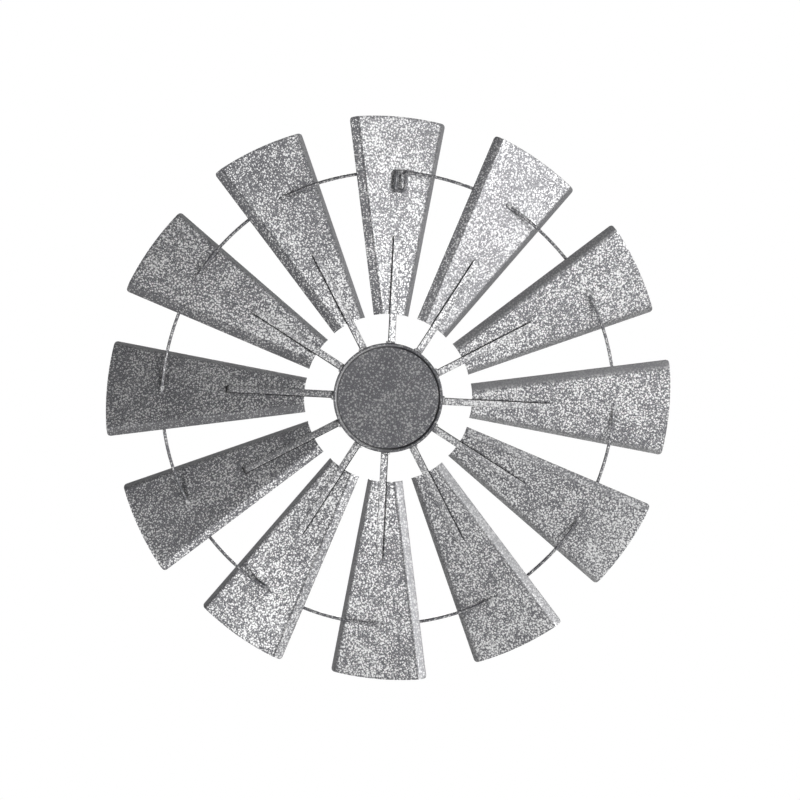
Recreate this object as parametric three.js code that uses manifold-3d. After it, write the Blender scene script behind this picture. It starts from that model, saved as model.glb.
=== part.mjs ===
// Galvanised windmill wheel, a wall and garden ornament.
// Twelve pressed sheet blades stand round a closed hub. A flat bar runs from the hub to the middle of
// each blade, one wire hoop passes through a slot in every blade, and a wire eye hangs it from a nail.
//
// Millimetres. +Z is up and the wheel's axis is Y. The rear, which has the bars and the hanging eye and
// faces the wall, looks along -Y. The origin is on the axis, midway through the wheel's depth.

import * as THREE from "three";
import { mergeVertices } from "three/addons/utils/BufferGeometryUtils.js";
import Module from "manifold-3d";

const wasm = await Module();
wasm.setup();

// ---- Driving dimensions ------------------------------------------------------------------------

const BLADE_COUNT = 12;
const WHEEL_RADIUS = 305; // a 24 inch wheel
const CLEARANCE = 0.3; // kept between pieces that touch

// A blade is a flat web, pitched about its own centre line, with both long edges bent to the front.
const SHEET = 0.8;
const BLADE_INNER_RADIUS = 91;
const PITCH = THREE.MathUtils.degToRad(21);
const WEB_WIDTH_AT_HUB = 26.8; // between the bend lines, at the blade's inner radius
const WEB_WIDTH_AT_RIM = 99; // between the bend lines, at the wheel's radius
const WEB_OFFSET = 2.6; // from the spoke's centre line to the web's
const FLANGE_WIDTH = 9.6;
const FLANGE_BEND = THREE.MathUtils.degToRad(45);
const BEND_RADIUS = 6;
const TIP_CORNER_RADIUS = 4;

const HOOP_RADIUS = 245;
const HOOP_WIRE = 3.4;

const SPOKE_WIDTH = 7.8;
const SPOKE_THICKNESS = 2.6;
const SPOKE_OUTER_RADIUS = 175.6;
const SPOKE_LEAD = THREE.MathUtils.degToRad(1); // clockwise of its blade's centre line, from the rear

// The hub is a short rolled band with a dished lid on each end.
const HUB_RADIUS = 59.3;
const HUB_DEPTH = 18; // over both lids
const HUB_FORWARD = 3; // from the hoop's plane to the hub's middle, towards the front
const BAND_WALL = 1.2;
const LID_SHEET = 1;
const LID_RECESS = 3.5;
const LID_FACE_RADIUS = 55.2; // the flat, recessed disc
const LID_RIM_INNER_RADIUS = 56.8; // where the sloped wall meets the flat rim
const LID_EDGE_RADIUS = 1; // the rounded outer edge

// The hanging eye is a U of wire. Its legs stand off the hoop, turn down and meet at the bottom.
const EYE_WIRE = 4.4;
const EYE_WIDTH = 15.2; // over both legs
const EYE_DROP = 23.4; // from the hoop's centre line to the lowest point
const EYE_OFFSET = 5.6; // from the top blade's centre line to the eye's
const EYE_STAND_OFF = 6.2; // from the hoop's centre line to the legs'
const EYE_BEND_RADIUS = 3.4; // of the centre line, where each leg turns down

// ---- Mesh detail -------------------------------------------------------------------------------

const HOOP_SEGMENTS = 96; // a multiple of the blade count, so every slot meets the hoop alike
const HOOP_SIDES = 10;
const HUB_SEGMENTS = 60;
const EYE_STEPS = 40;

// On a shape's arcs and curves, of which an arc takes twice as many sides.
const BEND_SEGMENTS = 2;
const OUTLINE_SEGMENTS = 5;
const LID_EDGE_SEGMENTS = 1;
const EYE_SECTION_SEGMENTS = 5;

// ---- Materials ---------------------------------------------------------------------------------

function galvanised(color, roughness) {
  return new THREE.MeshStandardMaterial({ color, roughness, metalness: 0.85 });
}

const BLADE_METAL = galvanised(0xb4b5b7, 0.5);
const SPOKE_METAL = galvanised(0xa3a4a6, 0.5);
const WIRE_METAL = galvanised(0x8c8d8f, 0.45);
const HUB_METAL = galvanised(0x8f9092, 0.5);

// ---- Meshes and booleans -----------------------------------------------------------------------

function namedMesh(name, geometry, material) {
  const mesh = new THREE.Mesh(geometry, material);
  mesh.name = name;
  return mesh;
}

function solidOf(geometry) {
  const bare = geometry.clone();
  bare.deleteAttribute("normal");
  bare.deleteAttribute("uv");
  const merged = mergeVertices(bare);
  return new wasm.Manifold(
    new wasm.Mesh({
      numProp: 3,
      vertProperties: merged.attributes.position.array,
      triVerts: new Uint32Array(merged.index.array),
    }),
  );
}

function geometryOf(solid) {
  const { vertProperties, triVerts } = solid.getMesh();
  const geometry = new THREE.BufferGeometry();
  geometry.setAttribute("position", new THREE.BufferAttribute(vertProperties, 3));
  geometry.setIndex(new THREE.BufferAttribute(triVerts, 1));
  geometry.computeVertexNormals();
  return geometry;
}

// ---- Blades ------------------------------------------------------------------------------------

// The blade's cross-section for a given web width: x across the web, y to the front.
function bladeSection(webWidth) {
  const tangent = BEND_RADIUS * Math.tan(FLANGE_BEND / 2);
  const bendX = webWidth / 2 - tangent;
  const flat = FLANGE_WIDTH - tangent;
  const outside = BEND_RADIUS + SHEET / 2;
  const inside = BEND_RADIUS - SHEET / 2;
  const down = -Math.PI / 2;

  // The free edge of the flange on one side (-1 or 1), on the given surface of the sheet.
  const flangeEdge = (side, radius) => [
    side * (bendX + radius * Math.sin(FLANGE_BEND) + flat * Math.cos(FLANGE_BEND)),
    BEND_RADIUS - radius * Math.cos(FLANGE_BEND) + flat * Math.sin(FLANGE_BEND),
  ];

  const section = new THREE.Shape();
  section.moveTo(...flangeEdge(-1, outside));
  section.absarc(-bendX, BEND_RADIUS, outside, down - FLANGE_BEND, down, false);
  section.absarc(bendX, BEND_RADIUS, outside, down, down + FLANGE_BEND, false);
  section.lineTo(...flangeEdge(1, outside));
  section.lineTo(...flangeEdge(1, inside));
  section.absarc(bendX, BEND_RADIUS, inside, down + FLANGE_BEND, down, true);
  section.absarc(-bendX, BEND_RADIUS, inside, down, down - FLANGE_BEND, true);
  section.lineTo(...flangeEdge(-1, inside));
  section.closePath();
  return section;
}

// Widens an extruded section along its length by moving its two halves apart.
function spreadAlongLength(geometry, widthPerLength) {
  const position = geometry.attributes.position;
  for (let i = 0; i < position.count; i += 1) {
    const shift = (position.getZ(i) * widthPerLength) / 2;
    position.setX(i, position.getX(i) + Math.sign(position.getX(i)) * shift);
  }
}

// The top blade's pitched channel, which runs past the blade's outline at both ends.
function bladeChannel() {
  const overrun = 8;
  const taper = (WEB_WIDTH_AT_RIM - WEB_WIDTH_AT_HUB) / (WHEEL_RADIUS - BLADE_INNER_RADIUS);
  const channel = new THREE.ExtrudeGeometry(bladeSection(WEB_WIDTH_AT_HUB - overrun * taper), {
    depth: WHEEL_RADIUS - BLADE_INNER_RADIUS + 2 * overrun,
    curveSegments: BEND_SEGMENTS,
    bevelEnabled: false,
  });
  spreadAlongLength(channel, taper);
  channel.translate(WEB_OFFSET, 0, BLADE_INNER_RADIUS - overrun);
  channel.rotateZ(PITCH);
  return channel;
}

// The top blade's outline seen along the axis: x across, y outwards. Both ends are arcs about the axis,
// and the straight sides stand just outside the flanges, so that they cut nothing but the tip corners.
function bladeOutline() {
  const margin = 1;
  const flangeReach = FLANGE_WIDTH * Math.cos(FLANGE_BEND);
  const halfAngle = (webWidth, radius) =>
    Math.asin(((webWidth / 2 + flangeReach) * Math.cos(PITCH) + margin) / radius);
  const pointAt = (radius, angle) =>
    new THREE.Vector2(radius * Math.sin(angle), radius * Math.cos(angle));

  const innerAngle = halfAngle(WEB_WIDTH_AT_HUB, BLADE_INNER_RADIUS);
  const tipAngle = halfAngle(WEB_WIDTH_AT_RIM, WHEEL_RADIUS);
  const roundAngle = TIP_CORNER_RADIUS / WHEEL_RADIUS;
  const outwards = Math.PI / 2;
  const corner = (side) => pointAt(WHEEL_RADIUS, side * tipAngle);
  const sideEnd = (side) => {
    const toInner = pointAt(BLADE_INNER_RADIUS, side * innerAngle).sub(corner(side));
    return corner(side).add(toInner.setLength(TIP_CORNER_RADIUS));
  };

  const outline = new THREE.Shape();
  const arcStart = outwards - tipAngle + roundAngle;
  const arcEnd = outwards + tipAngle - roundAngle;
  outline.absarc(0, 0, WHEEL_RADIUS, arcStart, arcEnd, false);
  outline.quadraticCurveTo(...corner(-1), ...sideEnd(-1));
  outline.absarc(0, 0, BLADE_INNER_RADIUS, outwards + innerAngle, outwards - innerAngle, true);
  outline.lineTo(...sideEnd(1));
  outline.quadraticCurveTo(...corner(1), ...pointAt(WHEEL_RADIUS, tipAngle - roundAngle));
  return outline;
}

function bladeGeometry() {
  const depth = 2 * WEB_WIDTH_AT_RIM;
  const cutter = new THREE.ExtrudeGeometry(bladeOutline(), {
    depth,
    curveSegments: OUTLINE_SEGMENTS,
    bevelEnabled: false,
  });
  cutter.rotateX(Math.PI / 2);
  cutter.translate(0, depth / 2, 0);
  const slot = hoopGeometry(CLEARANCE);
  const trimmed = solidOf(bladeChannel()).intersect(solidOf(cutter));
  return geometryOf(trimmed.subtract(solidOf(slot)));
}

// ---- Hoop and spokes ---------------------------------------------------------------------------

function hoopGeometry(growth) {
  const tube = HOOP_WIRE / 2 + growth;
  return new THREE.TorusGeometry(HOOP_RADIUS, tube, HOOP_SIDES, HOOP_SEGMENTS).rotateX(Math.PI / 2);
}

// The top spoke, which lies on the rear of its blade's web.
function spokeGeometry() {
  const start = HUB_RADIUS + CLEARANCE;
  const length = SPOKE_OUTER_RADIUS - start;
  const spoke = new THREE.BoxGeometry(SPOKE_WIDTH, SPOKE_THICKNESS, length);
  spoke.translate(0, -(SHEET / 2 + CLEARANCE + SPOKE_THICKNESS / 2), start + length / 2);
  spoke.rotateY(SPOKE_LEAD);
  spoke.rotateZ(PITCH);
  return spoke;
}

// ---- Hub ---------------------------------------------------------------------------------------

function bandGeometry() {
  const inside = HUB_RADIUS - BAND_WALL;
  const end = HUB_DEPTH / 2 - LID_SHEET - CLEARANCE;
  const profile = [
    new THREE.Vector2(inside, -end),
    new THREE.Vector2(HUB_RADIUS, -end),
    new THREE.Vector2(HUB_RADIUS, end),
    new THREE.Vector2(inside, end),
    new THREE.Vector2(inside, -end),
  ];
  return new THREE.LatheGeometry(profile, HUB_SEGMENTS);
}

// The front lid: a flat disc, a sloped wall, and a flat rim with a rounded edge.
function lidGeometry() {
  const top = HUB_DEPTH / 2;
  const face = top - LID_RECESS;
  const slope = Math.atan2(LID_RECESS, LID_RIM_INNER_RADIUS - LID_FACE_RADIUS);
  const sheetShift = LID_SHEET * Math.tan(slope / 2);
  const edgeCentre = HUB_RADIUS - LID_EDGE_RADIUS;

  const profile = new THREE.Path();
  profile.moveTo(0, face - LID_SHEET);
  profile.lineTo(LID_FACE_RADIUS + sheetShift, face - LID_SHEET);
  profile.lineTo(LID_RIM_INNER_RADIUS + sheetShift, top - LID_SHEET);
  profile.lineTo(HUB_RADIUS, top - LID_SHEET);
  profile.absarc(edgeCentre, top - LID_EDGE_RADIUS, LID_EDGE_RADIUS, 0, Math.PI / 2, false);
  profile.lineTo(LID_RIM_INNER_RADIUS, top);
  profile.lineTo(LID_FACE_RADIUS, face);
  profile.lineTo(0, face);
  return new THREE.LatheGeometry(profile.getPoints(LID_EDGE_SEGMENTS), HUB_SEGMENTS);
}

// ---- Hanging eye -------------------------------------------------------------------------------

function eyePath() {
  const halfSpan = (EYE_WIDTH - EYE_WIRE) / 2;
  const bottom = HOOP_RADIUS - EYE_DROP + EYE_WIRE / 2 + halfSpan;
  const at = (side, y, z) => new THREE.Vector3(EYE_OFFSET + side * halfSpan, y, z);

  // One leg's end, the start and end of the bend where it turns down, and the foot of its straight.
  const leg = (side) => ({
    end: at(side, -HOOP_WIRE / 2 - CLEARANCE, HOOP_RADIUS),
    bendStart: at(side, -EYE_STAND_OFF + EYE_BEND_RADIUS, HOOP_RADIUS),
    bendCorner: at(side, -EYE_STAND_OFF, HOOP_RADIUS),
    bendEnd: at(side, -EYE_STAND_OFF, HOOP_RADIUS - EYE_BEND_RADIUS),
    foot: at(side, -EYE_STAND_OFF, bottom),
    handle: at(side, -EYE_STAND_OFF, bottom - (4 / 3) * halfSpan),
  });
  const left = leg(-1);
  const right = leg(1);

  const path = new THREE.CurvePath();
  path.add(new THREE.LineCurve3(left.end, left.bendStart));
  path.add(new THREE.QuadraticBezierCurve3(left.bendStart, left.bendCorner, left.bendEnd));
  path.add(new THREE.LineCurve3(left.bendEnd, left.foot));
  path.add(new THREE.CubicBezierCurve3(left.foot, left.handle, right.handle, right.foot));
  path.add(new THREE.LineCurve3(right.foot, right.bendEnd));
  path.add(new THREE.QuadraticBezierCurve3(right.bendEnd, right.bendCorner, right.bendStart));
  path.add(new THREE.LineCurve3(right.bendStart, right.end));
  return path;
}

function eyeGeometry() {
  const section = new THREE.Shape();
  section.absarc(0, 0, EYE_WIRE / 2, 0, 2 * Math.PI, false);
  return new THREE.ExtrudeGeometry(section, {
    extrudePath: eyePath(),
    steps: EYE_STEPS,
    curveSegments: EYE_SECTION_SEGMENTS,
  });
}

// ---- Assembly ----------------------------------------------------------------------------------

// Stands one copy of the top piece at every blade, clockwise as seen from the rear.
function addAround(wheel, prefix, geometry, material) {
  for (let i = 0; i < BLADE_COUNT; i += 1) {
    const number = String(i + 1).padStart(2, "0");
    const copy = namedMesh(`${prefix}_${number}`, geometry, material);
    copy.rotation.y = (i * 2 * Math.PI) / BLADE_COUNT;
    wheel.add(copy);
  }
}

function hubGroup() {
  const rearLid = namedMesh("hub_lid_rear", lidGeometry(), HUB_METAL);
  rearLid.rotation.x = Math.PI;
  const hub = new THREE.Group();
  hub.add(namedMesh("hub_band", bandGeometry(), HUB_METAL));
  hub.add(namedMesh("hub_lid_front", lidGeometry(), HUB_METAL));
  hub.add(rearLid);
  hub.position.y = HUB_FORWARD;
  return hub;
}

const wheel = new THREE.Group();
wheel.add(hubGroup());
addAround(wheel, "spoke", spokeGeometry(), SPOKE_METAL);
addAround(wheel, "blade", bladeGeometry(), BLADE_METAL);
wheel.add(namedMesh("hoop", hoopGeometry(0), WIRE_METAL));
wheel.add(namedMesh("hanging_eye", eyeGeometry(), WIRE_METAL));
const extent = new THREE.Box3().setFromObject(wheel, true);
wheel.position.y = -(extent.min.y + extent.max.y) / 2;

const windmill = new THREE.Group();
windmill.add(wheel);

export default windmill;
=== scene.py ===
"""Looks of the galvanised windmill wheel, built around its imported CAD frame.

Metres, in the CAD's frame: +Z is up, the wheel's axis is Y, and the rear, which has the spokes and the
hanging eye, looks along -Y, towards the camera.
"""

import math
import random

import bmesh
import bpy
import numpy as np
from mathutils import Matrix, Vector, noise


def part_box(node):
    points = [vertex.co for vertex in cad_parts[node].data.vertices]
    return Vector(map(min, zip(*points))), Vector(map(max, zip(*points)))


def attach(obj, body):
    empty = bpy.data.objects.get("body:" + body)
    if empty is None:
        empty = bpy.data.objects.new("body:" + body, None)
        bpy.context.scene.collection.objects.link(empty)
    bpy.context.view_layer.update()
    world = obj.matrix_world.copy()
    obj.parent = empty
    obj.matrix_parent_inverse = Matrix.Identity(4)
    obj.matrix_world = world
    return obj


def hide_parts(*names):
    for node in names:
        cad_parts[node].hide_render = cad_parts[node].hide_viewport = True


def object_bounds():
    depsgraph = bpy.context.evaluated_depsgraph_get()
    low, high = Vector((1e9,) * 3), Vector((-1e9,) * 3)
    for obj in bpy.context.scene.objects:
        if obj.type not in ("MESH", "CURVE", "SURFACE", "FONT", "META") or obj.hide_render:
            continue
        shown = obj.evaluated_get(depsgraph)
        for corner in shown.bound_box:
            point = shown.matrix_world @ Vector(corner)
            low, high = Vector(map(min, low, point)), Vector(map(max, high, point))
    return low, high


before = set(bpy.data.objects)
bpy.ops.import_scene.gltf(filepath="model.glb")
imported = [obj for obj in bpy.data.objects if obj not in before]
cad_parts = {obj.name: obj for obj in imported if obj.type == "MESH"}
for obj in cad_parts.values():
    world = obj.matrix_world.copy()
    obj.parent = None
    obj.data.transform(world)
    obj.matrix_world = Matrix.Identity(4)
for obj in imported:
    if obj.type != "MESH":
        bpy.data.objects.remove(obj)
CAD_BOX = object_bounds()

MM = 0.001
BLADE_COUNT = 12
BODY = "root"

# ---- Places and sizes from the frame -------------------------------------------------------------

HOOP_LOW, HOOP_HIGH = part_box("hoop")
HOOP_Y = (HOOP_LOW.y + HOOP_HIGH.y) / 2
HOOP_WIRE = 3.4 * MM
HOOP_RADIUS = HOOP_HIGH.z - HOOP_WIRE / 2
EYE_LOW, EYE_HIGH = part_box("hanging_eye")
WHEEL_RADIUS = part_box("blade_01")[1].z

BAND_LOW, BAND_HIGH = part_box("hub_band")
HUB_RADIUS = BAND_HIGH.z
HUB_REAR_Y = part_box("hub_lid_rear")[0].y
HUB_FRONT_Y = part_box("hub_lid_front")[1].y
SPOKE_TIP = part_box("spoke_01")[1].z

# ---- Dimensions as in the CAD --------------------------------------------------------------------

SHEET = 0.8 * MM
BLADE_INNER_RADIUS = 91 * MM
PITCH = math.radians(21)
WEB_WIDTH_AT_HUB = 26.8 * MM
WEB_WIDTH_AT_RIM = 99 * MM
WEB_OFFSET = 2.6 * MM
FLANGE_WIDTH = 9.6 * MM
FLANGE_BEND = math.radians(45)
BEND_RADIUS = 6 * MM
SLOT_GAP = 0.3 * MM

SPOKE_WIDTH = 7.8 * MM
SPOKE_THICKNESS = 2.6 * MM
SPOKE_LEAD = math.radians(1)

BAND_WALL = 1.2 * MM
LID_SHEET = 1 * MM
LID_RECESS = 3.5 * MM
LID_FACE_RADIUS = 55.2 * MM
LID_RIM_INNER_RADIUS = 56.8 * MM

EYE_WIRE = 4.4 * MM
EYE_BEND_RADIUS = 3.4 * MM

# ---- Dimensions of the looks only ----------------------------------------------------------------

TIP_CORNER_RADIUS = 3 * MM
# Between a spoke and the web it is welded to, which the CAD keeps further apart.
SPOKE_GAP = 0.1 * MM
# How deep the lid is pressed in round its face.
LID_GROOVE = 0.7 * MM
# How far hand-worked sheet and bar wander along the wheel's axis.
RIPPLE = 0.35 * MM


# ---- Mesh helpers --------------------------------------------------------------------------------


def object_of(name, mesh):
    """A new object in the scene that shows the mesh."""
    obj = bpy.data.objects.new(name, mesh)
    bpy.context.scene.collection.objects.link(obj)
    return obj


def object_from(name, verts, faces):
    mesh = bpy.data.meshes.new(name)
    mesh.from_pydata(verts, [], faces)
    mesh.update()
    return object_of(name, mesh)


def face_outwards(obj, join_within=0.0):
    """Joins points that are no further apart than join_within, and turns every face outwards."""
    bm = bmesh.new()
    bm.from_mesh(obj.data)
    if join_within > 0:
        bmesh.ops.remove_doubles(bm, verts=bm.verts, dist=join_within)
    bmesh.ops.recalc_face_normals(bm, faces=bm.faces)
    bm.to_mesh(obj.data)
    bm.free()


def apply_modifiers(obj):
    """Replaces the object's mesh with its evaluated one, and clears the modifiers."""
    graph = bpy.context.evaluated_depsgraph_get()
    made = bpy.data.meshes.new_from_object(obj.evaluated_get(graph))
    old = obj.data
    obj.modifiers.clear()
    obj.data = made
    bpy.data.meshes.remove(old)


def set_attribute(mesh, name, values):
    """Stores one number for each point of the mesh."""
    attribute = mesh.attributes.new(name, "FLOAT", "POINT")
    attribute.data.foreach_set("value", np.asarray(values, np.float32))


def get_attribute(mesh, name):
    """The numbers that set_attribute stored."""
    values = np.empty(len(mesh.vertices), np.float32)
    mesh.attributes[name].data.foreach_get("value", values)
    return values


def shade_smooth(obj, sharp_angle=35):
    obj.data.shade_smooth()
    obj.data.set_sharp_from_angle(angle=math.radians(sharp_angle))


def turn(index):
    """The rotation that carries the top blade to the blade with this index, clockwise from the rear."""
    return Matrix.Rotation(index * 2 * math.pi / BLADE_COUNT, 4, "Y")


def place(obj, material, slot, *nodes):
    """Gives a finished piece its material and its body, and hides the CAD nodes that it stands for, if
    any.
    """
    obj.data.materials.clear()
    obj.data.materials.append(material)
    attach(obj, BODY)
    if nodes:
        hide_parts(*nodes)


# ---- Materials -----------------------------------------------------------------------------------


class Nodes:
    """Adds nodes to the empty node tree of a material or a world, a line each."""

    def __init__(self, owner):
        owner.use_nodes = True
        self.tree = owner.node_tree
        self.tree.nodes.clear()

    def add(self, kind, inputs=None, **settings):
        node = self.tree.nodes.new(kind)
        for key, value in settings.items():
            setattr(node, key, value)
        for key, value in (inputs or {}).items():
            if isinstance(value, bpy.types.NodeSocket):
                self.tree.links.new(value, node.inputs[key])
            else:
                node.inputs[key].default_value = value
        return node

    def noise(self, vector, scale, detail=2.0):
        inputs = {"Vector": vector, "Scale": scale, "Detail": detail}
        return self.add("ShaderNodeTexNoise", inputs).outputs["Fac"]

    def math(self, operation, a, b=0.0, c=0.0):
        return self.add("ShaderNodeMath", {0: a, 1: b, 2: c}, operation=operation).outputs[0]

    def remap(self, value, low, high, to_low=0.0, to_high=1.0):
        inputs = {"Value": value, "From Min": low, "From Max": high, "To Min": to_low, "To Max": to_high}
        return self.add("ShaderNodeMapRange", inputs, interpolation_type="SMOOTHSTEP").outputs["Result"]

    def mix(self, factor, a, b):
        node = self.add("ShaderNodeMix", data_type="RGBA")
        for index, value in ((0, factor), (6, a), (7, b)):
            if isinstance(value, bpy.types.NodeSocket):
                self.tree.links.new(value, node.inputs[index])
            else:
                node.inputs[index].default_value = value
        return node.outputs[2]


def grey(value, blue=0.012):
    """A very slightly blue grey of that reflectance."""
    return (value, value, value + blue, 1.0)


# The first two attributes wear the coat; the last two paint shade and a highlight into its colour.
WEAR_AND_PAINTED_LIGHT = ("thin", "even", "painted_shade", "painted_highlight")
METALLIC = 0.7
PAINTED_SHADE_COLOUR = 0.02
PAINTED_HIGHLIGHT_COLOUR = 0.95


def galvanised(name, ground, fleck, coverage, cell=2.35 * MM, rough=0.45):
    """Hot-dip galvanised steel: a grey ground under small pale flecks, which crowd in some patches.

    ground and fleck are their reflectances, coverage is about the share that the flecks take, cell is
    the distance between flecks, and rough is the roughness of the ground between them. Mesh
    attributes from 0 to 1 change it: "thin" takes the flecks away, "even" melts them into a plain
    grey, and the last two darken it with painted shade and lighten it with a painted highlight.
    """
    material = bpy.data.materials.new(name)
    n = Nodes(material)
    place_on_part = n.add("ShaderNodeTexCoord").outputs["Object"]
    thin, even, painted_shade, painted_highlight = (
        n.add("ShaderNodeAttribute", attribute_name=wear).outputs["Fac"] for wear in WEAR_AND_PAINTED_LIGHT)

    wobble = n.add("ShaderNodeTexNoise", {"Vector": place_on_part, "Scale": 900.0, "Detail": 1.0})
    shift = n.add("ShaderNodeVectorMath", {0: wobble.outputs["Color"], 1: (0.5, 0.5, 0.5)},
                  operation="SUBTRACT")
    warped = n.add("ShaderNodeVectorMath", {0: shift.outputs[0], 1: (0.9 * MM,) * 3, 2: place_on_part},
                   operation="MULTIPLY_ADD").outputs[0]
    cells = n.add("ShaderNodeTexVoronoi", {"Vector": warped, "Scale": 1 / cell})
    fine_cells = n.add("ShaderNodeTexVoronoi", {"Vector": warped, "Scale": 1.9 / cell})

    # A fleck fills its cell out to a radius, which grows where the flecks crowd.
    crowd = n.math("SUBTRACT", n.noise(place_on_part, 60.0, detail=2.0), 0.5)
    broad_crowd = n.math("SUBTRACT", n.noise(place_on_part, 14.0, detail=1.0), 0.5)
    radius = (coverage / 4.2) ** (1 / 3)
    reach = n.math("MULTIPLY_ADD", crowd, 0.28, n.math("MULTIPLY_ADD", broad_crowd, 0.22, radius))
    reach = n.math("MULTIPLY_ADD", thin, -0.5, reach)
    coarse = n.remap(n.math("SUBTRACT", reach, cells.outputs["Distance"]), -0.05, 0.07)
    fine = n.remap(n.math("SUBTRACT", reach, fine_cells.outputs["Distance"]), 0.0, 0.12)
    flecks = n.math("MAXIMUM", coarse, n.math("MULTIPLY", fine, 0.7))

    grain = n.noise(place_on_part, 1400.0, detail=1.0)
    cloud = n.noise(place_on_part, 35.0, detail=2.0)
    ground_shade = n.mix(cloud, grey(ground * 0.8), grey(ground * 1.2))
    fleck_shade = n.mix(n.math("FRACT", n.math("MULTIPLY", cells.outputs["Distance"], 37.0)),
                        grey(fleck * 0.7, 0.0), grey(fleck * 1.2, 0.0))
    mean = ground + coverage * (fleck - ground)
    colour = n.mix(flecks, ground_shade, fleck_shade)
    colour = n.mix(even, colour, grey(mean))
    # Painted shade, then a painted highlight, mixed in by the last two attributes.
    colour = n.mix(painted_shade, colour, grey(PAINTED_SHADE_COLOUR, 0.0))
    colour = n.mix(painted_highlight, colour, grey(PAINTED_HIGHLIGHT_COLOUR, 0.0))
    roughness = n.math("MULTIPLY_ADD", grain, 0.12, n.remap(flecks, 0.0, 1.0, rough, rough - 0.1))
    height = n.math("MULTIPLY_ADD", grain, 0.3, flecks)
    bump = n.add("ShaderNodeBump", {"Height": height, "Strength": 0.3, "Distance": 0.05 * MM})
    shader = n.add("ShaderNodeBsdfPrincipled", {
        "Base Color": colour, "Metallic": METALLIC, "Roughness": roughness, "Normal": bump.outputs[0]})
    n.add("ShaderNodeOutputMaterial", {"Surface": shader.outputs[0]})
    return material


BLADE_METAL = galvanised("galvanised_blade", ground=0.155, fleck=0.78, coverage=0.33)
SPOKE_METAL = galvanised("galvanised_bar", ground=0.22, fleck=0.75, coverage=0.42)
HUB_METAL = galvanised("galvanised_hub", ground=0.145, fleck=0.5, coverage=0.2, cell=2.9 * MM)
WIRE_METAL = galvanised(
    "galvanised_wire", ground=0.14, fleck=0.6, coverage=0.24, cell=2.4 * MM, rough=0.38)
EYE_METAL = galvanised("galvanised_eye", ground=0.14, fleck=0.45, coverage=0.22, cell=2.2 * MM)
WELD_METAL = galvanised("galvanised_weld", ground=0.20, fleck=0.70, coverage=0.5, cell=1.8 * MM)


# ---- Blades --------------------------------------------------------------------------------------


def section_samples():
    """The sheet's middle surface across the blade, from its anticlockwise edge to its clockwise one.

    Each sample is (u, v, spread, bent): across the web it stands at u + spread * half the web's
    width, and v towards the front. bent goes from 0 on the web to 1 on the clockwise flange, and to
    -1 on the anticlockwise one.
    """
    flange_steps, bend_steps, web_steps = 6, 6, 28
    tangent = BEND_RADIUS * math.tan(FLANGE_BEND / 2)
    flat = FLANGE_WIDTH - tangent

    half = []
    for i in range(flange_steps):
        along = flat * (1 - i / flange_steps)
        u = -tangent + BEND_RADIUS * math.sin(FLANGE_BEND) + along * math.cos(FLANGE_BEND)
        v = BEND_RADIUS * (1 - math.cos(FLANGE_BEND)) + along * math.sin(FLANGE_BEND)
        half.append((u, v, 1.0, 1.0))
    for i in range(bend_steps):
        share = 1 - i / bend_steps
        angle = FLANGE_BEND * share
        u = -tangent + BEND_RADIUS * math.sin(angle)
        half.append((u, BEND_RADIUS * (1 - math.cos(angle)), 1.0, share))

    web = []
    for i in range(web_steps + 1):
        share = 2 * i / web_steps - 1
        web.append((-share * tangent, 0.0, share, 0.0))
    left = [(-u, v, -spread, -bent) for u, v, spread, bent in half]
    return left + web + half[::-1]


def blade_line(u, v, spread):
    """One straight line of the sheet along the blade, as x = start + slope * z, and the same for y."""
    taper = (WEB_WIDTH_AT_RIM - WEB_WIDTH_AT_HUB) / (WHEEL_RADIUS - BLADE_INNER_RADIUS) / 2
    across_start = u + WEB_OFFSET + spread * (WEB_WIDTH_AT_HUB / 2 - taper * BLADE_INNER_RADIUS)
    across_slope = spread * taper
    x_line = (across_start * math.cos(PITCH) - v * math.sin(PITCH), across_slope * math.cos(PITCH))
    y_line = (across_start * math.sin(PITCH) + v * math.cos(PITCH), across_slope * math.sin(PITCH))
    return x_line, y_line


def where_line_meets(radius, x_line):
    """The z at which a line of the sheet is at that distance from the wheel's axis."""
    start, slope = x_line
    a = 1 + slope**2
    b = 2 * start * slope
    c = start**2 - radius**2
    return (-b + math.sqrt(b**2 - 4 * a * c)) / (2 * a)


def corner_drop(distance):
    """How far the tip's rounded corner lies inside the wheel's radius, that far from the blade's side."""
    inside = max(0.0, TIP_CORNER_RADIUS - distance)
    return TIP_CORNER_RADIUS - math.sqrt(TIP_CORNER_RADIUS**2 - inside**2)


def blade_sheet():
    """The top blade's middle surface as a grid, with the attribute "bent" from its section."""
    rows = 76
    samples = section_samples()
    lines = [blade_line(u, v, spread) for u, v, spread, _ in samples]
    tip_x = [line[0][0] + line[0][1] * WHEEL_RADIUS for line in lines]
    verts = []
    bent = []
    for (x_line, y_line), x, sample in zip(lines, tip_x, samples):
        drop = corner_drop(min(x - tip_x[0], tip_x[-1] - x))
        low = where_line_meets(BLADE_INNER_RADIUS, x_line)
        high = where_line_meets(WHEEL_RADIUS - drop, x_line)
        for row in range(rows + 1):
            z = low + (high - low) * row / rows
            verts.append((x_line[0] + x_line[1] * z, HOOP_Y + y_line[0] + y_line[1] * z, z))
            bent.append(sample[3])
    stride = rows + 1
    faces = [
        (c * stride + r, (c + 1) * stride + r, (c + 1) * stride + r + 1, c * stride + r + 1)
        for c in range(len(samples) - 1)
        for r in range(rows)
    ]
    sheet = object_from("blade_sheet", verts, faces)
    set_attribute(sheet.data, "bent", bent)
    return sheet


def hoop_cutter():
    """A torus a little fatter than the hoop, that cuts the slot it passes through."""
    bpy.ops.mesh.primitive_torus_add(
        major_radius=HOOP_RADIUS, minor_radius=HOOP_WIRE / 2 + SLOT_GAP, major_segments=240,
        minor_segments=16, location=(0, HOOP_Y, 0), rotation=(math.pi / 2, 0, 0))
    return bpy.context.object


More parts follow.
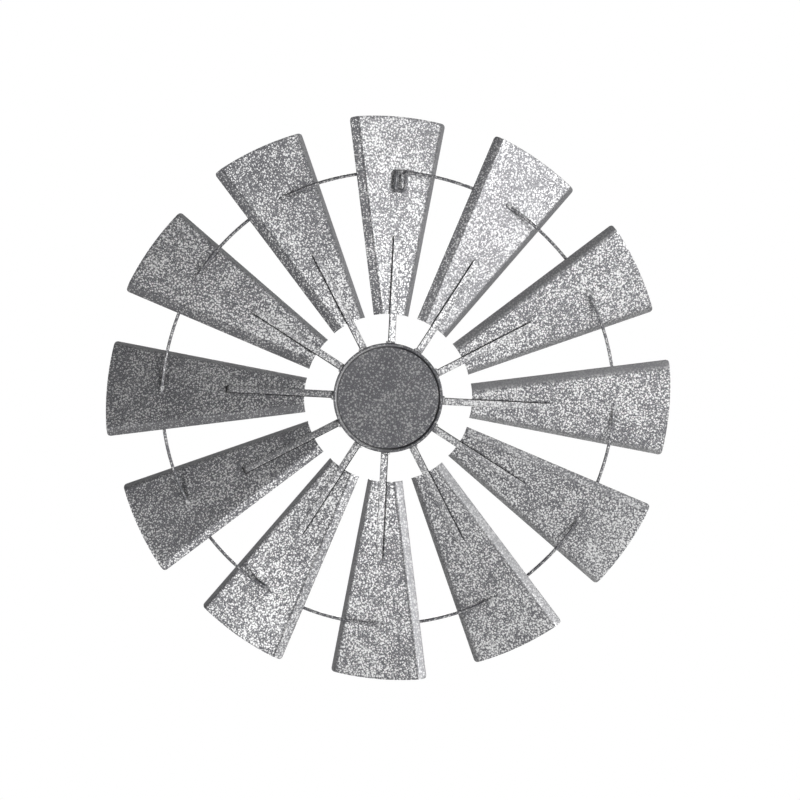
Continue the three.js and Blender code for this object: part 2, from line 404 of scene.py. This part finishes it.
def master_blade():
    """The top blade: sheet of the right thickness with softened edges and the hoop's slot."""
    blade = blade_sheet()
    thicken = blade.modifiers.new("thickness", "SOLIDIFY")
    thicken.thickness = SHEET
    thicken.offset = 0
    soften = blade.modifiers.new("edges", "BEVEL")
    soften.width = 0.18 * MM
    soften.segments = 2
    soften.limit_method = "ANGLE"
    soften.angle_limit = math.radians(50)
    apply_modifiers(blade)
    cutter = hoop_cutter()
    slot = blade.modifiers.new("slot", "BOOLEAN")
    slot.object = cutter
    slot.operation = "DIFFERENCE"
    slot.solver = "EXACT"
    apply_modifiers(blade)
    bpy.data.objects.remove(cutter)
    return blade


def ripple(mesh, seed):
    """Moves a mesh's points a little along the wheel's axis, inside the CAD's box."""
    offset = Vector((seed * 7.3, seed * 3.1, 0))
    low, high = CAD_BOX[0][1], CAD_BOX[1][1]
    for vertex in mesh.vertices:
        broad = noise.noise(vertex.co * 14 + offset)
        fine = noise.noise(vertex.co * 45 + offset)
        moved = vertex.co.y + RIPPLE * (broad + 0.35 * fine)
        vertex.co.y = min(max(moved, low), high)


# How each blade's coat has worn, from the top one clockwise: its web, its flange on the anticlockwise
# side, and its flange on the clockwise side. The flange tables of painted shade and painted highlight
# darken the flanges turned away from the light and lighten those turned to it.
# WEB_FADE is how much thinner the tip's flecks are than those at the hub end.
WEB_THIN = (0, 0, 0, 0.02, 0, 0, 0, 0, 0.08, 0.06, 0, 0.04)
WEB_FADE = (0, 0, 0, 0.04, 0, 0, 0.03, 0.12, 0, 0.12, 0.08, 0.24)
WEB_EVEN = (0.15, 0.4, 0, 0, 0, 0, 0, 0, 0, 0, 0, 0)
ANTICLOCKWISE_THIN = (0.18, 0.16, 0.05, 0, 0, 0, 0, 0.05, 0.05, 0.2, 0.18, 0.22)
ANTICLOCKWISE_EVEN = (0, 0.2, 0.7, 0.85, 0.3, 0.6, 0.65, 0.25, 0, 0.3, 0.15, 0)
ANTICLOCKWISE_PAINTED_SHADE = (0.15, 0.1, 0.12, 0, 0, 0, 0, 0, 0, 0.4, 0.35, 0.25)
ANTICLOCKWISE_PAINTED_HIGHLIGHT = (0, 0, 0, 0, 0, 0.12, 0.04, 0, 0, 0, 0, 0)
CLOCKWISE_EVEN = (0.85, 0.85, 0.4, 0.3, 0.4, 0.5, 0.85, 0.85, 0.85, 0.85, 0.85, 0.85)
CLOCKWISE_PAINTED_SHADE = (0, 0, 0, 0, 0, 0, 0, 0.05, 0.2, 0.25, 0.2, 0.05)
CLOCKWISE_PAINTED_HIGHLIGHT = (0, 0.06, 0.14, 0.2, 0.1, 0.02, 0.05, 0, 0, 0, 0, 0)
# Painted shade in the crease of the anticlockwise bend.
CREASE_PAINTED_SHADE = 0.35
# A painted shadow of the hoop on the web: its darkness, its middle across the web, and its half width.
HOOP_PAINTED_SHADOW = 0.35
HOOP_SHADOW_MIDDLE = 9 * MM
HOOP_SHADOW_HALF_WIDTH = 4 * MM


def near(distance, reach):
    """1 where the distance is zero, falling smoothly to nothing past the reach."""
    return np.exp(-((distance / reach) ** 2))


def wear_and_light_blade(mesh, index):
    """Wears the web and each flange as on this blade, in the top blade's place.

    The flanges get painted shade or a painted highlight as light falls on this blade. Painted shade
    lies in the crease of the anticlockwise bend, and a painted shadow of the hoop lies on the web's
    clockwise half.
    """
    bent = get_attribute(mesh, "bent")
    points = np.array([v.co for v in mesh.vertices])
    across, along = points[:, 0], points[:, 2]
    anticlockwise = np.clip(-bent, 0, 1)
    clockwise = np.clip(bent, 0, 1)
    web = 1 - anticlockwise - clockwise

    blade_length = WHEEL_RADIUS - BLADE_INNER_RADIUS
    share = (along - BLADE_INNER_RADIUS) / blade_length - 0.5
    web_thin = WEB_THIN[index] + WEB_FADE[index] * share
    # A painted shadow of the hoop on the web's clockwise half, where the hoop stands in front of it.
    at_hoop = near(np.hypot(across, along) - HOOP_RADIUS, HOOP_SHADOW_HALF_WIDTH)
    hoop_shadow = HOOP_PAINTED_SHADOW * at_hoop * near(across - HOOP_SHADOW_MIDDLE, HOOP_SHADOW_MIDDLE)
    # Painted shade in the crease of the anticlockwise bend.
    crease = CREASE_PAINTED_SHADE * near(anticlockwise - 0.3, 0.12)

    set_attribute(mesh, "thin", web_thin * web + ANTICLOCKWISE_THIN[index] * anticlockwise)
    set_attribute(mesh, "even", WEB_EVEN[index] * web + ANTICLOCKWISE_EVEN[index] * anticlockwise
                  + CLOCKWISE_EVEN[index] * clockwise)
    # Painted shade: flanges turned from the light, the anticlockwise crease, and the hoop's shadow on the
    # web.
    set_attribute(mesh, "painted_shade", ANTICLOCKWISE_PAINTED_SHADE[index] * anticlockwise
                  + CLOCKWISE_PAINTED_SHADE[index] * clockwise + hoop_shadow * web + crease)
    # Painted highlight on the flanges turned to the light.
    set_attribute(mesh, "painted_highlight", ANTICLOCKWISE_PAINTED_HIGHLIGHT[index] * anticlockwise
                  + CLOCKWISE_PAINTED_HIGHLIGHT[index] * clockwise)


def make_blades():
    """Twelve copies of the top blade, each with its own wear, painted shade and highlight, and ripple."""
    master = master_blade()
    for index in range(BLADE_COUNT):
        name = f"blade_{index + 1:02d}"
        mesh = master.data.copy()
        wear_and_light_blade(mesh, index)
        ripple(mesh, seed=index)
        mesh.transform(turn(index))
        blade = object_of(f"{name}_sheet", mesh)
        shade_smooth(blade)
        place(blade, BLADE_METAL, "blade_sheet", name)
    bpy.data.objects.remove(master)


# ---- Spokes --------------------------------------------------------------------------------------


# How each spoke's coat has worn, from the top one clockwise, and how dark a painted shadow lies at its
# end.
SPOKE_THIN = (0, 0, 0, 0, 0, 0, 0, 0, 0.14, 0.1, 0, 0)
SPOKE_END_PAINTED_SHADOW = (0, 0, 0, 0, 0, 0, 0, 0, 1, 1, 0, 0)


def wear_and_shade_spoke(mesh, index, length):
    """Wears a bar that stands along Z about the origin. Painted shade lies along its sides and at its
    end.
    """
    points = np.array([v.co for v in mesh.vertices])
    at_side = np.abs(points[:, 0]) > SPOKE_WIDTH / 2 - 0.1 * MM
    at_end = points[:, 2] > length / 2 - 0.5 * MM
    set_attribute(mesh, "thin", np.full(len(points), SPOKE_THIN[index]))
    # Painted shade along the sides, and a painted shadow at the end.
    set_attribute(mesh, "painted_shade", np.where(at_end, SPOKE_END_PAINTED_SHADOW[index], at_side.astype(float)))


def spoke_bar(name, length):
    """A flat bar with softened edges that stands along Z about the origin."""
    bm = bmesh.new()
    bmesh.ops.create_cube(bm, size=1)
    bmesh.ops.scale(bm, vec=(SPOKE_WIDTH, SPOKE_THICKNESS, length), verts=bm.verts)
    lengthways = [e for e in bm.edges if abs(e.verts[0].co.z - e.verts[1].co.z) > length / 2]
    bmesh.ops.subdivide_edges(bm, edges=lengthways, cuts=24)
    outline = [e for e in bm.edges if len(e.link_faces) == 2 and e.calc_face_angle() > 1]
    bmesh.ops.bevel(bm, geom=outline, offset=0.45 * MM, segments=3, affect="EDGES", profile=0.5)
    mesh = bpy.data.meshes.new(name)
    bm.to_mesh(mesh)
    bm.free()
    return mesh


def make_spokes():
    """Flat bars on the rear of the webs, from the hub's wall outwards."""
    length = SPOKE_TIP - HUB_RADIUS
    middle = -(SHEET / 2 + SPOKE_GAP + SPOKE_THICKNESS / 2)
    for index in range(BLADE_COUNT):
        name = f"spoke_{index + 1:02d}"
        mesh = spoke_bar(name, length)
        wear_and_shade_spoke(mesh, index, length)
        mesh.transform(Matrix.Translation((0, middle, HUB_RADIUS + length / 2)))
        mesh.transform(Matrix.Rotation(SPOKE_LEAD, 4, "Y"))
        mesh.transform(Matrix.Rotation(PITCH, 4, "Z"))
        mesh.transform(Matrix.Translation((0, HOOP_Y, 0)))
        ripple(mesh, seed=index)
        mesh.transform(turn(index))
        spoke = object_of(f"{name}_bar", mesh)
        shade_smooth(spoke)
        place(spoke, SPOKE_METAL, "spoke_bar", name)


# ---- Hub -----------------------------------------------------------------------------------------


def lathe(name, profile, segments=180):
    """Turns a profile of (radius, y) points round the wheel's axis. Points on the axis are shared."""
    verts = []
    rings = []
    for radius, y in profile:
        if radius == 0:
            rings.append([len(verts)] * segments)
            verts.append((0, y, 0))
            continue
        rings.append(list(range(len(verts), len(verts) + segments)))
        for i in range(segments):
            angle = 2 * math.pi * i / segments
            verts.append((radius * math.sin(angle), y, radius * math.cos(angle)))
    faces = []
    for ring, next_ring in zip(rings, rings[1:]):
        for i in range(segments):
            j = (i + 1) % segments
            corners = list(dict.fromkeys((ring[i], ring[j], next_ring[j], next_ring[i])))
            if len(corners) > 2:
                faces.append(corners)
    obj = object_from(name, verts, faces)
    face_outwards(obj)
    return obj


def fillet(before, corner, after, radius, steps=4):
    """Points of a smooth curve that rounds the corner of a profile."""
    before, corner, after = (Vector(p) for p in (before, corner, after))
    start = corner + (before - corner).normalized() * radius
    end = corner + (after - corner).normalized() * radius
    points = []
    for i in range(steps + 1):
        t = i / steps
        points.append(tuple((1 - t) ** 2 * start + 2 * t * (1 - t) * corner + t**2 * end))
    return points


def lid_profile(outside, inwards):
    """A dished lid: outside is the y of its rim, and inwards is +1 or -1, the way into the hub."""
    face_edge = LID_FACE_RADIUS - 0.8 * MM
    groove_radius = LID_FACE_RADIUS + 0.2 * MM
    face = outside + inwards * LID_RECESS
    deepest = face + inwards * LID_GROOVE
    under_face = face + inwards * LID_SHEET
    under_rim = outside + inwards * LID_SHEET
    under_groove = deepest + inwards * LID_SHEET

    # Each corner is a radius, a y, and how far it is rounded. The middle of the lid is at both ends.
    corners = [
        (face_edge, face, 0.6 * MM),
        (groove_radius, deepest, 0.3 * MM),
        (LID_RIM_INNER_RADIUS, outside, 0.6 * MM),
        (HUB_RADIUS, outside, 0.9 * MM),
        (HUB_RADIUS, under_rim, 0),
        (LID_RIM_INNER_RADIUS + 0.8 * LID_SHEET, under_rim, 0.4 * MM),
        (groove_radius + 0.4 * LID_SHEET, under_groove, 0.4 * MM),
        (face_edge - LID_SHEET, under_face, 0.4 * MM)]
    path = [(0, face)] + [corner[:2] for corner in corners] + [(0, under_face)]
    profile = [path[0], (face_edge / 2, face)]
    for before, (radius, y, rounding), after in zip(path, corners, path[2:]):
        if rounding:
            profile += fillet(before, (radius, y), after, rounding)
        else:
            profile.append((radius, y))
    profile.append(path[-1])
    return profile


def lid_shade_and_highlight(mesh):
    """Painted shade in the groove and on the outer edge, and a painted highlight on the wall towards the
    wheel's left.
    """
    wall_middle = (LID_FACE_RADIUS + LID_RIM_INNER_RADIUS) / 2 + 0.2 * MM
    points = np.array([v.co for v in mesh.vertices])
    radius = np.hypot(points[:, 0], points[:, 2])
    left = np.clip(-points[:, 0] / np.maximum(radius, MM) + 0.2, 0, 1)
    in_groove = np.clip(1 - np.abs(radius - LID_FACE_RADIUS) / (0.8 * MM), 0, 1)
    on_edge = np.clip((radius - HUB_RADIUS) / (0.8 * MM) + 1, 0, 1)
    on_wall = np.clip(1.4 - np.abs(radius - wall_middle) / (0.7 * MM), 0, 1)
    # Painted shade in the groove and on the outer edge, with fewer flecks there.
    set_attribute(mesh, "painted_shade", np.maximum(0.8 * in_groove, 0.7 * on_edge))
    set_attribute(mesh, "thin", np.maximum(in_groove, on_edge))
    # A painted highlight on the wall's left side, which faces the light from the right.
    set_attribute(mesh, "painted_highlight", on_wall * np.sqrt(left))


def hub_band():
    """The rolled wall between the lids. Its profile's last ring is joined to its first."""
    inside = HUB_RADIUS - BAND_WALL
    profile = [
        (inside, BAND_LOW.y), (HUB_RADIUS, BAND_LOW.y), (HUB_RADIUS, 0), (HUB_RADIUS, BAND_HIGH.y),
        (inside, BAND_HIGH.y), (inside, BAND_LOW.y)]
    band = lathe("hub_band_wall", profile)
    face_outwards(band, join_within=0.01 * MM)
    return band


def make_hub():
    rear = lathe("hub_lid_rear_dish", lid_profile(HUB_REAR_Y, 1))
    front = lathe("hub_lid_front_dish", lid_profile(HUB_FRONT_Y, -1))
    lid_shade_and_highlight(rear.data)
    lid_shade_and_highlight(front.data)
    band = hub_band()
    for obj, node in ((rear, "hub_lid_rear"), (front, "hub_lid_front"), (band, "hub_band")):
        shade_smooth(obj)
        place(obj, HUB_METAL, "hub_metal", node)


# ---- Wire pieces ---------------------------------------------------------------------------------


def wire(name, points, radius, sides=16, closed=False):
    """A round wire along a list of points, as a tube that is closed on itself or has capped ends."""
    count = len(points)
    verts = []
    up = None
    for i, point in enumerate(points):
        before = points[i - 1] if (i or closed) else point
        after = points[(i + 1) % count] if (i < count - 1 or closed) else point
        forward = (Vector(after) - Vector(before)).normalized()
        if up is None:
            up = forward.orthogonal().normalized()
        side = forward.cross(up).normalized()
        up = side.cross(forward).normalized()
        for s in range(sides):
            angle = 2 * math.pi * s / sides
            verts.append(Vector(point) + radius * (math.cos(angle) * up + math.sin(angle) * side))
    faces = []
    for i in range(count if closed else count - 1):
        j = (i + 1) % count
        for s in range(sides):
            t = (s + 1) % sides
            faces.append((i * sides + s, i * sides + t, j * sides + t, j * sides + s))
    if not closed:
        faces.append(tuple(range(sides))[::-1])
        faces.append(tuple(range((count - 1) * sides, count * sides)))
    obj = object_from(name, verts, faces)
    face_outwards(obj)
    return obj


def make_hoop():
    """The hoop, which bends a little between the blades that hold it."""
    segments = 360
    rng = random.Random(4)
    bulge = [rng.uniform(-0.7, 0.4) * MM for _ in range(BLADE_COUNT)]
    points = []
    for i in range(segments):
        share = i / segments
        part, within = divmod(share * BLADE_COUNT, 1)
        radius = HOOP_RADIUS + bulge[int(part)] * math.sin(math.pi * within) ** 2
        angle = 2 * math.pi * share
        points.append(Vector((radius * math.sin(angle), HOOP_Y, radius * math.cos(angle))))
    hoop = wire("hoop_wire", points, HOOP_WIRE / 2, closed=True)
    shade_smooth(hoop, 60)
    place(hoop, WIRE_METAL, "wire", "hoop")


def eye_points():
    """The centre line of the hanging eye: out from the hoop, down, round the bottom, and back up."""
    radius = EYE_WIRE / 2
    left, right = EYE_LOW.x + radius, EYE_HIGH.x - radius
    plane = EYE_LOW.y + radius
    middle, half = (left + right) / 2, (right - left) / 2
    foot = EYE_LOW.z + radius + half
    bend_steps, foot_steps = 8, 24

    leg = [Vector((left, EYE_HIGH.y, HOOP_RADIUS))]
    for i in range(bend_steps + 1):
        angle = math.pi / 2 * i / bend_steps
        leg.append(Vector((left, plane + EYE_BEND_RADIUS * (1 - math.sin(angle)),
                           HOOP_RADIUS - EYE_BEND_RADIUS * (1 - math.cos(angle)))))
    bottom = []
    for i in range(foot_steps + 1):
        angle = math.pi * i / foot_steps
        bottom.append(Vector((middle - half * math.cos(angle), plane, foot - half * math.sin(angle))))
    other_leg = [Vector((2 * middle - p.x, p.y, p.z)) for p in leg]
    return leg + bottom + other_leg[::-1]


def make_eye():
    eye = wire("hanging_eye_wire", eye_points(), EYE_WIRE / 2)
    shade_smooth(eye, 60)
    place(eye, EYE_METAL, "wire", "hanging_eye")


# ---- Welds ---------------------------------------------------------------------------------------


BEAD_SIDES = 20
BEAD_RINGS = 11


def ball_points():
    """A ball 1 across, as a pole, rings of points, and a pole."""
    points = [Vector((0, 0, 0.5))]
    for ring in range(1, BEAD_RINGS + 1):
        polar = math.pi * ring / (BEAD_RINGS + 1)
        for side in range(BEAD_SIDES):
            around = 2 * math.pi * side / BEAD_SIDES
            x, y = math.sin(polar) * math.cos(around), math.sin(polar) * math.sin(around)
            points.append(Vector((x, y, math.cos(polar))) / 2)
    points.append(Vector((0, 0, -0.5)))
    return points


def ball_faces(first):
    """The faces of a ball whose points are numbered from first."""
    last = first + 1 + BEAD_RINGS * BEAD_SIDES
    faces = []
    for side in range(BEAD_SIDES):
        beside = (side + 1) % BEAD_SIDES
        faces.append((first, first + 1 + side, first + 1 + beside))
        for ring in range(BEAD_RINGS - 1):
            upper = first + 1 + ring * BEAD_SIDES
            lower = upper + BEAD_SIDES
            faces.append((upper + side, lower + side, lower + beside, upper + beside))
        faces.append((last, last - BEAD_SIDES + beside, last - BEAD_SIDES + side))
    return faces


def weld_beads(name, slot, beads):
    """One piece that holds lumpy beads.

    Each bead is a matrix that places it, with x along it and y up out of the work, its length, width
    and height, and the seed of its lumps.
    """
    ball = ball_points()
    verts = []
    faces = []
    for matrix, length, width, height, seed in beads:
        faces += ball_faces(first=len(verts))
        shift = Vector((seed * 1.7, seed * 0.9, seed * 2.3))
        for point in ball:
            lumpy = point * (1 + 0.3 * noise.noise(point * 5 + shift))
            verts.append(matrix @ Vector((lumpy.x * length, lumpy.y * height, lumpy.z * width)))
    obj = object_from(name, verts, faces)
    shade_smooth(obj, 80)
    place(obj, WELD_METAL, slot)


def make_hub_welds():
    """One bead across the rear of each spoke where it meets the hub's wall."""
    at = Matrix.Translation((0, HOOP_Y - 3.4 * MM, HUB_RADIUS + 0.8 * MM))
    tilt = Matrix.Rotation(PITCH, 4, "Z")
    beads = []
    for index in range(BLADE_COUNT):
        beads.append((turn(index) @ at @ tilt, 9 * MM, 3.6 * MM, 3.2 * MM, index))
    weld_beads("hub_welds", "spoke_bar", beads)


def make_hoop_welds():
    """A bead on each side of the web where the hoop goes through it."""
    tilt = Matrix.Rotation(PITCH, 4, "Z")
    beads = []
    for index in range(BLADE_COUNT):
        for side in (-1, 1):
            at = Matrix.Translation((-side * 3.2 * MM, HOOP_Y + side * 0.4 * MM, HOOP_RADIUS))
            beads.append((turn(index) @ at @ tilt, 7 * MM, 5.5 * MM, 2.6 * MM, index * 2 + side))
    weld_beads("hoop_welds", "wire", beads)


def make_eye_welds():
    """A bead at each end of the eye, and one between them on the hoop."""
    left, right = EYE_LOW.x + EYE_WIRE / 2, EYE_HIGH.x - EYE_WIRE / 2
    beads = []
    for x, length in ((left, 5.4 * MM), ((left + right) / 2, 6 * MM), (right, 5.4 * MM)):
        at = Matrix.Translation((x, HOOP_Y - HOOP_WIRE / 2, HOOP_RADIUS))
        beads.append((at, length, 4.8 * MM, 2.6 * MM, x / MM))
    weld_beads("eye_welds", "wire", beads)


# ---- Stage, light and camera ---------------------------------------------------------------------


def make_floor():
    """A plain pale floor, well below the wheel. The camera sees it nearly as light as the backdrop."""
    half_size = 4.5
    level = -1.6
    corners = [(x * half_size, y * half_size, level) for x, y in ((-1, -1), (1, -1), (1, 1), (-1, 1))]
    floor = object_from("floor", corners, [(0, 1, 2, 3)])
    material = bpy.data.materials.new("pale_floor")
    n = Nodes(material)
    coordinates = n.add("ShaderNodeTexCoord").outputs["Object"]
    shade = n.mix(n.noise(coordinates, 6.0), grey(0.80, 0.0), grey(0.86, 0.0))
    paint = n.add("ShaderNodeBsdfPrincipled", {"Base Color": shade, "Roughness": 0.9})
    glow = n.add("ShaderNodeEmission", {"Color": (1, 1, 1, 1), "Strength": 0.55})
    lit = n.add("ShaderNodeAddShader", {0: paint.outputs[0], 1: glow.outputs[0]})
    seen = n.add("ShaderNodeLightPath").outputs["Is Camera Ray"]
    both = n.add("ShaderNodeMixShader", {0: seen, 1: paint.outputs[0], 2: lit.outputs[0]})
    n.add("ShaderNodeOutputMaterial", {"Surface": both.outputs[0]})
    floor.data.materials.append(material)


def make_world():
    """White to the camera. As light, the room is bright behind the wheel and to its right."""
    world = bpy.data.worlds.new("studio")
    bpy.context.scene.world = world
    n = Nodes(world)
    direction = n.add("ShaderNodeSeparateXYZ", {0: n.add("ShaderNodeTexCoord").outputs["Generated"]})
    behind = n.remap(direction.outputs["Y"], 0.0, 0.5, 0.0, 0.32)
    right = n.remap(direction.outputs["X"], 0.0, 0.8, 0.0, 0.32)
    strength = n.math("ADD", behind, right)
    room = n.add("ShaderNodeBackground", {"Color": (1, 1, 1, 1), "Strength": strength})
    backdrop = n.add("ShaderNodeBackground", {"Color": (1, 1, 1, 1)})
    seen = n.add("ShaderNodeLightPath").outputs["Is Camera Ray"]
    both = n.add("ShaderNodeMixShader", {0: seen, 1: room.outputs[0], 2: backdrop.outputs[0]})
    n.add("ShaderNodeOutputWorld", {"Surface": both.outputs[0]})


# The softboxes round the camera: where each stands round the wheel's axis, in degrees, 0 to the right
# and 90 up, and its power in watts.
SOFTBOXES = ((0, 13.2), (60, 5.0), (180, 9.8), (240, 2.6), (300, 5.6))
SOFTBOX_SIZE = 0.8


def softbox(name, azimuth, off_axis, distance, power):
    """A square light aimed at the wheel. off_axis is its angle from the camera's side of the axis."""
    data = bpy.data.lights.new(name, "AREA")
    data.size = SOFTBOX_SIZE
    data.energy = power
    light = bpy.data.objects.new(name, data)
    around, off = math.radians(azimuth), math.radians(off_axis)
    aside = math.sin(off)
    direction = Vector((aside * math.cos(around), -math.cos(off), aside * math.sin(around)))
    light.location = direction * distance
    light.rotation_mode = "QUATERNION"
    light.rotation_quaternion = direction.to_track_quat("Z", "Y")
    light.visible_camera = False
    bpy.context.scene.collection.objects.link(light)


def make_lights():
    """Five softboxes in a ring round the camera, and one behind the wheel that lights only its front."""
    for azimuth, power in SOFTBOXES:
        softbox(f"softbox_{azimuth}", azimuth, off_axis=40, distance=1.8, power=power)
    softbox("softbox_front", azimuth=90, off_axis=162, distance=2.2, power=26)


def make_camera():
    """Square on to the rear. The wheel hangs two degrees clockwise of upright in the picture."""
    distance = 2.35
    picture_radius = 0.7035
    data = bpy.data.cameras.new("camera")
    data.sensor_width = 36
    half_width = (WHEEL_RADIUS / picture_radius) / (distance + HOOP_Y)
    data.lens = data.sensor_width / 2 / half_width
    data.shift_x = 0.014875
    data.shift_y = -0.00275
    camera = bpy.data.objects.new("camera", data)
    camera.rotation_mode = "QUATERNION"
    upright = Vector((0, 1, 0)).to_track_quat("-Z", "Z")
    roll = Matrix.Rotation(math.radians(2), 4, "Y").to_quaternion()
    camera.location = (0, -distance, 0)
    camera.rotation_quaternion = roll.inverted() @ upright
    bpy.context.scene.collection.objects.link(camera)
    bpy.context.scene.camera = camera


make_camera()
make_floor()
make_world()
make_lights()
make_blades()
make_spokes()
make_hub()
make_hoop()
make_eye()
make_hub_welds()
make_hoop_welds()
make_eye_welds()
bpy.context.scene.view_settings.view_transform = "Standard"
